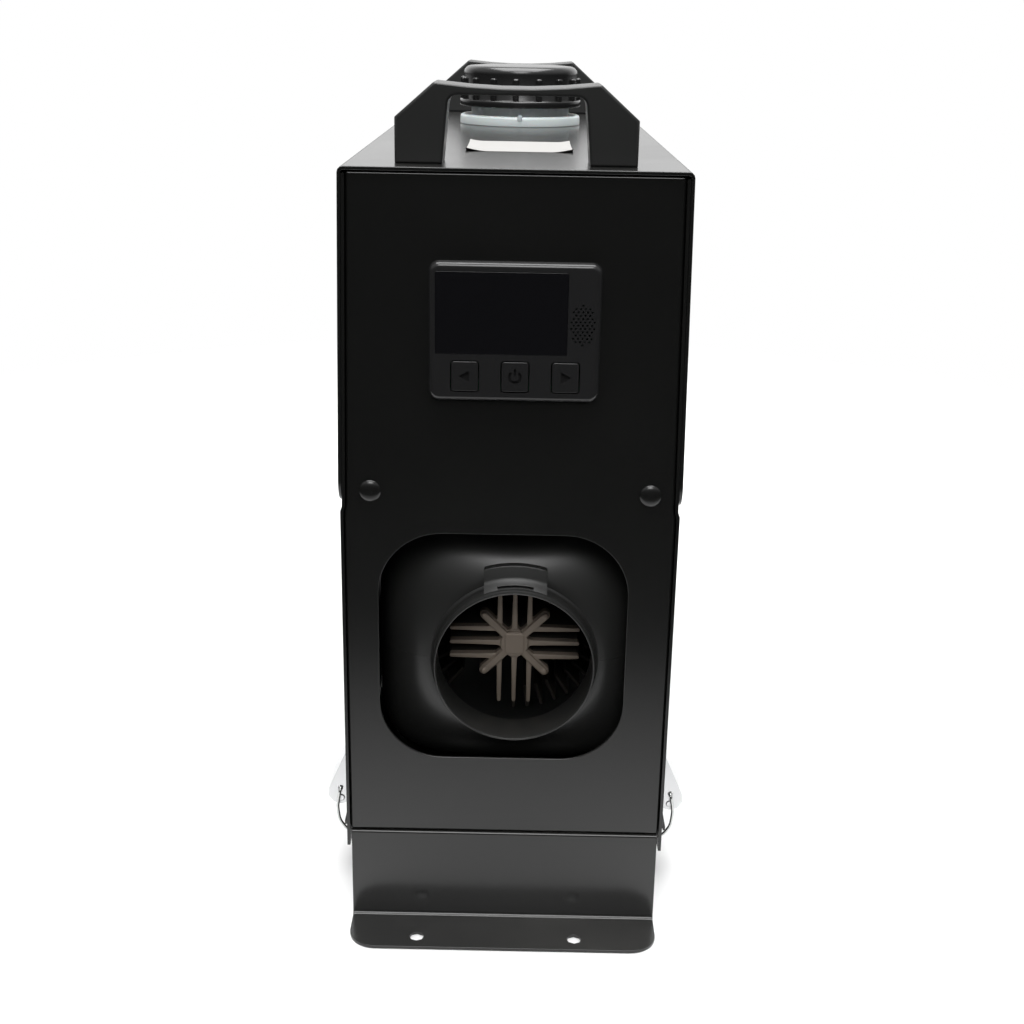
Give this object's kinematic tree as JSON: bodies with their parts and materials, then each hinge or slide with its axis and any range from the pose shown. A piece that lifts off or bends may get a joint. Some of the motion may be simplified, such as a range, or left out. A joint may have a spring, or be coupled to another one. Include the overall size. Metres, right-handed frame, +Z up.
{
  "type": "diesel air heater",
  "caption": "Portable diesel air heater in a tall narrow steel case with its own tank, front air outlet, controller, carry handles and a latched bolt-down base.",
  "frame": {"origin": "on the floor, below the middle of the case", "axes": "+Z up, the front with the air outlet and the controller faces -Y, +X to the right of someone who faces the front"},
  "size_m": [0.1796, 0.4908, 0.391],
  "materials": {
    "black_paint": "satin black powder coat",
    "black_plastic": "fine-grained moulded plastic",
    "shell_plastic": "satin moulded plastic",
    "white_plastic": "milky moulded plastic",
    "dark_screen": "smooth dark window",
    "zinc_steel": "bright zinc plating",
    "dark_wire": "plated spring wire",
    "cast_aluminium": "raw casting",
    "brass": "turned",
    "black_rubber": "matt",
    "circuit_board": "green board"
  },
  "bodies": {
    "case": {"base_bracket": "black_paint", "case_floor": "black_paint", "side_panel_right": "black_paint", "side_panel_left": "black_paint", "front_panel": "black_paint", "rear_panel": "black_paint", "top_cover": "black_paint", "divider_shelf": "black_paint", "rivet_left": "black_paint", "rivet_right": "black_paint", "handle_front": "black_plastic", "handle_rear": "black_plastic", "handle_strap_front": "zinc_steel", "handle_strap_rear": "zinc_steel", "fuel_tank": "white_plastic", "neck_collar": "white_plastic", "tank_outlet": "brass", "fuel_line_suction": "black_rubber", "fuel_pump": "zinc_steel", "pump_mount": "black_rubber", "fuel_line_delivery": "black_rubber", "shell_lower": "shell_plastic", "shell_upper": "shell_plastic", "outlet_ring": "black_plastic", "heat_exchanger": "cast_aluminium", "mounting_gasket": "black_rubber", "exhaust_stub": "zinc_steel", "intake_stub": "cast_aluminium", "burner_tube": "zinc_steel", "glow_plug": "zinc_steel", "blower_housing": "cast_aluminium", "motor": "zinc_steel", "inlet_guard": "black_plastic", "control_board": "circuit_board", "overheat_sensor": "zinc_steel", "wiring_harness": "black_rubber", "power_inlet": "black_plastic", "controller_bezel": "black_plastic", "controller_lens": "dark_screen", "controller_board": "circuit_board", "latch_plate_front_left": "zinc_steel", "latch_plate_front_right": "zinc_steel", "latch_plate_rear_left": "zinc_steel", "latch_plate_rear_right": "zinc_steel"},
    "cap_lift": {"cap_gasket": "black_rubber"},
    "cap": {"fuel_cap": "black_plastic"},
    "rotor": {"rotor_shaft": "zinc_steel", "combustion_wheel": "cast_aluminium", "air_fan": "black_plastic"},
    "button_left": {"button_left": "black_plastic"},
    "button_power": {"button_power": "black_plastic"},
    "button_right": {"button_right": "black_plastic"},
    "lever_front_left": {"latch_lever_front_left": "zinc_steel"},
    "bail_front_left": {"latch_bail_front_left": "dark_wire"},
    "lever_front_right": {"latch_lever_front_right": "zinc_steel"},
    "bail_front_right": {"latch_bail_front_right": "dark_wire"},
    "lever_rear_left": {"latch_lever_rear_left": "zinc_steel"},
    "bail_rear_left": {"latch_bail_rear_left": "dark_wire"},
    "lever_rear_right": {"latch_lever_rear_right": "zinc_steel"},
    "bail_rear_right": {"latch_bail_rear_right": "dark_wire"}
  },
  "joints": [
    {"name": "cap_lift", "type": "slide", "parent": "case", "child": "cap_lift", "axis": [0, 0, 1], "range_m": [0, 0.012]},
    {"name": "cap_turn", "type": "hinge", "parent": "cap_lift", "child": "cap", "pos_m": [0.0004, 0.07, 0.38], "axis": [0, 0, 1], "range_deg": [0, 720]},
    {"name": "rotor_spin", "type": "hinge", "parent": "case", "child": "rotor", "pos_m": [0.0031, 0.1, 0.134], "axis": [0, 1, 0], "continuous": true},
    {"name": "button_left_press", "type": "slide", "parent": "case", "child": "button_left", "axis": [0, 1, 0], "range_m": [0, 0.0008], "stiffness_N_per_m": 500},
    {"name": "button_power_press", "type": "slide", "parent": "case", "child": "button_power", "axis": [0, 1, 0], "range_m": [0, 0.0008], "stiffness_N_per_m": 500},
    {"name": "button_right_press", "type": "slide", "parent": "case", "child": "button_right", "axis": [0, 1, 0], "range_m": [0, 0.0008], "stiffness_N_per_m": 500},
    {"name": "lever_front_left_turn", "type": "hinge", "parent": "case", "child": "lever_front_left", "pos_m": [-0.0832, -0.165, 0.0405], "axis": [0, -1, 0], "range_deg": [0, 115]},
    {"name": "bail_front_left_turn", "type": "hinge", "parent": "lever_front_left", "child": "bail_front_left", "pos_m": [-0.0834, -0.165, 0.0462], "axis": [0, -1, 0], "range_deg": [-101.3, 0]},
    {"name": "lever_front_right_turn", "type": "hinge", "parent": "case", "child": "lever_front_right", "pos_m": [0.0832, -0.165, 0.0405], "axis": [0, 1, 0], "range_deg": [0, 115]},
    {"name": "bail_front_right_turn", "type": "hinge", "parent": "lever_front_right", "child": "bail_front_right", "pos_m": [0.0834, -0.165, 0.0462], "axis": [0, 1, 0], "range_deg": [-101.3, 0]},
    {"name": "lever_rear_left_turn", "type": "hinge", "parent": "case", "child": "lever_rear_left", "pos_m": [-0.0832, 0.165, 0.0405], "axis": [0, -1, 0], "range_deg": [0, 115]},
    {"name": "bail_rear_left_turn", "type": "hinge", "parent": "lever_rear_left", "child": "bail_rear_left", "pos_m": [-0.0834, 0.165, 0.0462], "axis": [0, -1, 0], "range_deg": [-101.3, 0]},
    {"name": "lever_rear_right_turn", "type": "hinge", "parent": "case", "child": "lever_rear_right", "pos_m": [0.0832, 0.165, 0.0405], "axis": [0, 1, 0], "range_deg": [0, 115]},
    {"name": "bail_rear_right_turn", "type": "hinge", "parent": "lever_rear_right", "child": "bail_rear_right", "pos_m": [0.0834, 0.165, 0.0462], "axis": [0, 1, 0], "range_deg": [-101.3, 0]}
  ],
  "couplings": [
    {"joint": "cap_lift", "follows": "cap_turn", "m_per_rad": 0.000954},
    {"joint": "bail_front_left_turn", "follows": "lever_front_left_turn", "ratio": -0.88},
    {"joint": "bail_front_right_turn", "follows": "lever_front_right_turn", "ratio": -0.88},
    {"joint": "bail_rear_left_turn", "follows": "lever_rear_left_turn", "ratio": -0.88},
    {"joint": "bail_rear_right_turn", "follows": "lever_rear_right_turn", "ratio": -0.88}
  ]
}
